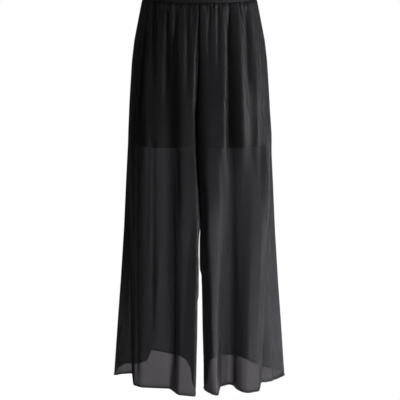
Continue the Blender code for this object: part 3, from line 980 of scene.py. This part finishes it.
def stitch_row(name, path):
    """A row of stitches along a closed line that lies on the cloth."""
    points, along, level = ways_along(path)
    closed = np.concatenate((points, points[:1]))
    steps = np.concatenate(([0.0], np.cumsum(np.linalg.norm(np.diff(closed, axis=0), axis=1))))
    count = int(steps[-1] / STITCH_PITCH)
    size = Matrix.Diagonal((STITCH_LENGTH / 2, STITCH_RADIUS, STITCH_RADIUS, 1.0))
    row = bmesh.new()
    for first in range(0, count, STITCHES_AT_ONCE):
        few = bmesh.new()
        for index in range(first, min(first + STITCHES_AT_ONCE, count)):
            at = int(np.searchsorted(steps, (index + 0.5) * steps[-1] / count)) % len(points)
            turned = Matrix((along[at], level[at], (0.0, 0.0, 1.0))).transposed().to_4x4()
            place = Matrix.Translation(points[at]) @ turned @ size
            bmesh.ops.create_uvsphere(
                few, u_segments=STITCH_SIDES, v_segments=STITCH_RINGS, radius=1.0, matrix=place)
        made = bpy.data.meshes.new("few_stitches")
        few.to_mesh(made)
        few.free()
        row.from_mesh(made)
        bpy.data.meshes.remove(made)
    return finish_piece(name, row, THREAD)


def make_thread():
    """Black sewing thread with a slight shine."""
    material, tree, shader = new_material("black_thread")
    coordinates = tree.nodes.new("ShaderNodeTexCoord")
    uneven = noise(tree, coordinates.outputs["Object"], THREAD_CLOUDS)
    color = shaded_range(tree, uneven, (0.008, 0.008, 0.009), (0.030, 0.029, 0.032))
    tree.links.new(color, shader.inputs["Base Color"])
    set_inputs(shader, {"Roughness": 0.4})
    return material


THREAD = make_thread()
print("stitch length, mm:", round(STITCH_LENGTH / MM, 1))

# %% [markdown]
# ## The lining's turned hem
#
# The lining's edge is turned up on the inside and sewn near the top of the turn. That makes its
# hem two layers thick. A strip of satin lies inside each panel, a thin roll closes the fold at
# the lower edge, and the row of stitches shows on the outside.

# %% Turned hem
LINING_TURN_UP = 0.012
LINING_TURNED_IN = -0.8 * MM
TURN_UP_ROWS = ((LINING_HEM_DROP - LINING_TURN_UP, LINING_HEM_DROP, 3),)
SATIN_ROLL = 0.7 * MM
SEWN_SHARE = 0.8
SEWN_AT = LINING_HEM_DROP - SEWN_SHARE * LINING_TURN_UP
STITCH_LIFT = 0.3 * MM
for side in SIDES:
    for face in FACES:
        name = "satin_turn_up_" + face + "_" + side
        sheet = panel_mesh(face, side, TURN_UP_ROWS, LINING_COLUMNS, True, LINING_TURNED_IN)
        finish_piece(name, sheet, SATIN, wall=LINING_SHELL)
    edge = hem_path(side, True, LINING_HEM_DROP, LINING_COLUMNS, LINING_TURNED_IN / 2)
    finish_piece("satin_hem_" + side, roll_mesh(edge, SATIN_ROLL), SATIN)
    sewn = hem_path(side, True, SEWN_AT, LINING_COLUMNS, STITCH_LIFT)
    stitch_row("lining_stitches_" + side, sewn)

# %% [markdown]
# ## The waistband
#
# The band is a strip of black cloth folded round an elastic. It is almost smooth in front and
# shirred behind, where the elastic draws it into small upright folds. A rounded section is swept
# round the waist's oval, and both of its faces are pressed in between the folds. Only the band's
# lower edge shows in the picture, so above that it is a plain guess.

# %% Waistband
BAND_WALL = 3.6 * MM
BAND_ROUND = 1.2 * MM
BAND_SHELL = 0.5 * MM
BAND_SET_IN = 0.9 * MM
BAND_COLUMNS = 720
BAND_ROW_STEP = 3.0 * MM
BAND_CORNER_STEPS = 4
BAND_FLAT_EDGE_POWER = 4
BAND_ROUND_BODY = 0.74
SHIRRS = 84
SHIRR_DEPTH = 1.0 * MM
SHIRR_WANDER, WANDER_PACE = 0.8, 5.0
SHIRR_LEAN, LEAN_PACE = 6.0, 9.0
SHIRR_EVEN, SHIRR_UNEVEN, UNEVEN_PACE = 0.75, 0.25, 7.0
FRONT_SHIRR_SHARE = 0.16
SHIRRED_FROM = (-0.1, 0.4)
BAND_BULGE = 0.5 * MM


def band_profile():
    """The band's section: a rounded strip, as (outward, upward) offsets."""
    corners = []
    half = (BAND_WALL / 2 - BAND_ROUND, BAND_HEIGHT / 2 - BAND_ROUND)
    for quarter, (x, z) in enumerate(((1, 1), (-1, 1), (-1, -1), (1, -1))):
        for step in range(BAND_CORNER_STEPS + 1):
            turn = math.radians(90.0 * quarter + 90.0 / BAND_CORNER_STEPS * step)
            corners.append((x * half[0] + BAND_ROUND * math.cos(turn),
                            z * half[1] + BAND_ROUND * math.sin(turn)))
    corners.append(corners[0])
    profile = []
    for (x0, z0), (x1, z1) in zip(corners, corners[1:]):
        pieces = max(1, int(abs(z1 - z0) / BAND_ROW_STEP))
        profile += [(x0 + (x1 - x0) * n / pieces, z0 + (z1 - z0) * n / pieces) for n in range(pieces)]
    return profile + [corners[0]]


def band_line(outward, up):
    """The closed line round the band at one place of its section."""
    line = []
    half_width, depth = OUTLINE[0].half_width - BAND_SET_IN, OUTLINE[0].front - BAND_SET_IN
    height = 1.0 - (2.0 * up / BAND_HEIGHT) ** BAND_FLAT_EDGE_POWER
    for column in range(BAND_COLUMNS):
        turn = 2.0 * math.pi * column / BAND_COLUMNS
        x, y = half_width * math.cos(turn), depth * math.sin(turn)
        normal = Vector((x / half_width ** 2, y / depth ** 2, 0.0)).normalized()
        shirred = float(ease(math.sin(turn), *SHIRRED_FROM))
        behind = FRONT_SHIRR_SHARE + (1.0 - FRONT_SHIRR_SHARE) * shirred
        wander = SHIRR_WANDER * math.sin(WANDER_PACE * turn)
        lean = SHIRR_LEAN * up * math.sin(LEAN_PACE * turn)
        fold = math.cos(SHIRRS * turn + wander + lean)
        uneven = SHIRR_EVEN + SHIRR_UNEVEN * math.sin(UNEVEN_PACE * turn)
        swell = behind * height * SHIRR_DEPTH * 0.5 * (fold - 1.0) * uneven
        reach = outward + math.copysign(1.0, outward) * (swell + BAND_BULGE * 0.5 * height)
        line.append(Vector((x, y, up)) + normal * (reach - BAND_WALL / 2))
    return line


def band_mesh():
    """The band's closed strip."""
    profile = band_profile()
    rows = [line + line[:1] for line in (band_line(*place) for place in profile)]
    ups = [place[1] for place in profile]
    return close_up(weave(rows, np.linspace(0.0, BAND_ROUND_BODY, BAND_COLUMNS + 1), ups))


print("shirred folds round the band:", SHIRRS)

# %% [markdown]
# ## The band's cloth and sewing
#
# The band's cloth is a coarser weave than the chiffon, matt and opaque. A row of stitches runs
# near its upper edge and another near its lower one, and they keep the elastic flat inside.

# %% Band cloth and sewing
BAND_WEAVE = Weave(
    threads=420.0, both_ways=True, clouds=40.0, thread_share=0.25, cloud_share=0.5,
    dark=(0.008, 0.0078, 0.0085), light=(0.022, 0.021, 0.023), relief=0.2,
)
STITCHES_FROM_EDGE = 4.0 * MM
BAND_STITCH_LIFT = 0.1 * MM
BAND_CLOTH = woven("black_band", BAND_WEAVE, {"Roughness": 0.65, "Specular IOR Level": 0.2})
for title, sign in (("upper", 1.0), ("lower", -1.0)):
    up = sign * (BAND_HEIGHT / 2 - STITCHES_FROM_EDGE)
    line = band_line(BAND_WALL / 2 + BAND_STITCH_LIFT, up)
    stitch_row("band_stitches_" + title, line)
band = finish_piece("waistband_cloth", band_mesh(), BAND_CLOTH, ("waistband",), BAND_SHELL)
band.modifiers["Shell"].offset = -1.0

# %% [markdown]
# ## Floor and surround
#
# Black cloth needs a dark room: light from everywhere would fill the troughs and turn the cloth
# grey. So the pale floor and the white surround are bright only where the camera sees them
# directly. Seen through the cloth they are a middle grey, as the card that a photographer hangs
# behind sheer cloth, and they shed only a dim light on the cloth.

# %% Floor and surround
FLOOR_BELOW = 1.40
FLOOR_SIZE = 40.0
WHITE = (1.0, 1.0, 1.0)
CARD_GREY = (0.475, 0.435, 0.47)
ROOM_DIM = (0.05, 0.05, 0.05)


def studio_white(tree, kind, output):
    """White to the camera, grey through cloth, and dim to every other ray."""
    shades = []
    for color in (WHITE, CARD_GREY, ROOM_DIM):
        shade = tree.nodes.new(kind)
        set_inputs(shade, {"Color": (*color, 1.0), "Strength": 1.0})
        shades.append(shade.outputs[0])
    path = tree.nodes.new("ShaderNodeLightPath")
    through = tree.nodes.new("ShaderNodeMixShader")
    seen = tree.nodes.new("ShaderNodeMixShader")
    behind_cloth = mixed(tree, path.outputs["Transparent Depth"], 0.5, "GREATER_THAN")
    tree.links.new(behind_cloth, through.inputs["Fac"])
    tree.links.new(shades[0], through.inputs[1])
    tree.links.new(shades[1], through.inputs[2])
    tree.links.new(path.outputs["Is Camera Ray"], seen.inputs["Fac"])
    tree.links.new(shades[2], seen.inputs[1])
    tree.links.new(through.outputs["Shader"], seen.inputs[2])
    tree.links.new(seen.outputs["Shader"], output.inputs["Surface"])


def make_floor():
    """A pale floor far below the hem."""
    mesh = bmesh.new()
    bmesh.ops.create_grid(mesh, x_segments=1, y_segments=1, size=FLOOR_SIZE / 2)
    bmesh.ops.translate(mesh, verts=mesh.verts[:], vec=(0.0, 0.0, -FLOOR_BELOW))
    material, tree, _ = new_material("white_floor")
    tree.nodes.clear()
    output = tree.nodes.new("ShaderNodeOutputMaterial")
    studio_white(tree, "ShaderNodeEmission", output)
    floor = put_in_scene("floor", stored("floor", mesh, material))


def make_surround():
    """The white surround of the studio."""
    world = bpy.data.worlds.new("studio")
    world.use_nodes = True
    world.node_tree.nodes.clear()
    output = world.node_tree.nodes.new("ShaderNodeOutputWorld")
    studio_white(world.node_tree, "ShaderNodeBackground", output)
    bpy.context.scene.world = world


make_floor()
make_surround()
print("floor below the waist, m:", FLOOR_BELOW)

# %% [markdown]
# ## Lights
#
# The photograph's light comes from the viewer's right. It brightens the right flank of each fold
# and leaves the left one dark. A large front key gives most of it, and a narrow side key, level
# with the legs, rakes over the folds and leaves the hips darker. Four faint lights help: a fill
# from the left, two low ones for the hems, and a high one for the waist.

# %% Lights
Light = namedtuple("Light", "name place size watts aim spread")
BODY_MIDDLE = (0.0, 0.0, -0.45)
LIGHTS = (
    Light("side_key", (3.05, -0.45, -0.75), (1.0, 1.2), 6.5, (0.0, 0.0, -0.75), 40.0),
    Light("front_key", (2.6, -2.0, -0.50), (1.4, 2.2), 62.0, BODY_MIDDLE, 180.0),
    Light("fill", (-1.6, -3.0, -0.10), (1.4, 2.0), 4.0, BODY_MIDDLE, 180.0),
    Light("low_front", (0.6, -3.2, -1.30), (1.0, 0.5), 0.8, (0.0, 0.0, -1.15), 26.0),
    Light("low_right", (1.3, -3.0, -1.20), (1.0, 0.5), 2.0, (0.55, 0.0, -1.10), 26.0),
    Light("high_left", (-2.2, -2.4, 1.10), (1.0, 0.4), 0.3, (0.0, 0.0, 0.18), 20.0),
)


def set_light(light):
    """A soft light turned to its aim, with its rays kept within a spread in degrees."""
    data = bpy.data.lights.new(light.name, "AREA")
    data.shape = "RECTANGLE"
    data.size, data.size_y = light.size
    data.energy = light.watts
    data.spread = math.radians(light.spread)
    lamp = put_in_scene(light.name, data)
    lamp.location = light.place
    toward = Vector(light.aim) - Vector(light.place)
    lamp.rotation_euler = toward.to_track_quat("-Z", "Y").to_euler()


for light in LIGHTS:
    set_light(light)
bpy.context.scene.view_settings.view_transform = "Standard"
print("lights, watts:", sum(light.watts for light in LIGHTS))

# %% [markdown]
# ## Camera
#
# The hem shows its far edge above its near one, so the camera looks down a little: it stands three
# metres off and a quarter of a metre above the waist. A long lens keeps the legs from spreading.

# %% Camera
PICTURE_PIXELS = 400.0
FOCAL_PIXELS = 1224.0
SENSOR_MM = 36.0
CAMERA_PLACE = (0.0012, -3.0, 0.23)
CAMERA_TILT = 14.0


def make_camera():
    """The camera at the photograph's angle."""
    data = bpy.data.cameras.new("camera")
    data.sensor_width = SENSOR_MM
    data.lens = SENSOR_MM * FOCAL_PIXELS / PICTURE_PIXELS
    camera = put_in_scene("camera", data)
    camera.location = CAMERA_PLACE
    camera.rotation_euler = (math.radians(90.0 - CAMERA_TILT), 0.0, 0.0)
    bpy.context.scene.camera = camera
    print("lens, mm:", round(data.lens, 1))


make_camera()
